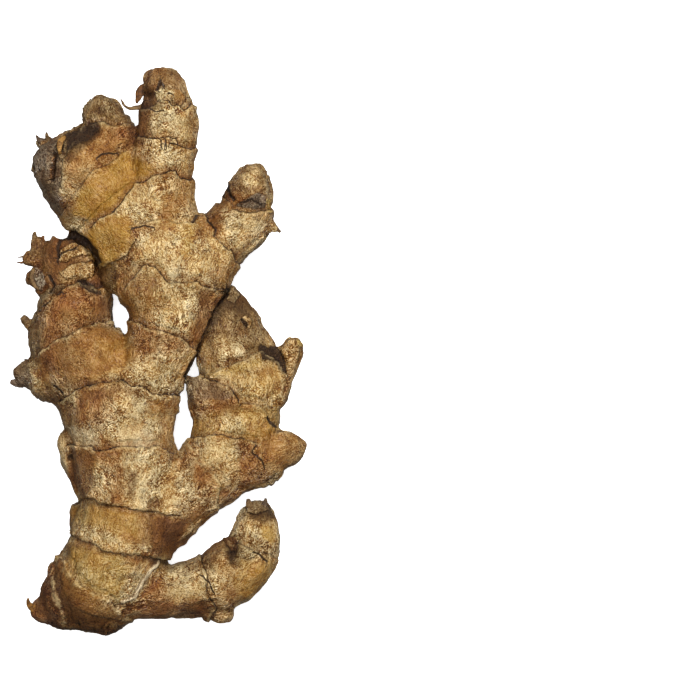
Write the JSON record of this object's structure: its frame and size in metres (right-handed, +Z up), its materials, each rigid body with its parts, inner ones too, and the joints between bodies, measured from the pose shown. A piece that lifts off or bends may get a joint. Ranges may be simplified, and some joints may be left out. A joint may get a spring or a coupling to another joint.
{
  "type": "galangal root",
  "caption": "Knobbly branched rhizome lying flat, with swollen ringed internodes, blunt fingers, pointed buds and ragged scale edges.",
  "frame": {"origin": "middle of the plan's box, on the surface that the root lies on", "axes": "+Y along the root from its broken base to its top finger, +X across it, +Z up"},
  "size_m": [0.0882, 0.1704, 0.0322],
  "materials": {
    "skin": "matte fibrous skin with a slight gloss on the bare internodes"
  },
  "bodies": {
    "root": {"rhizome": "skin"}
  },
  "joints": []
}
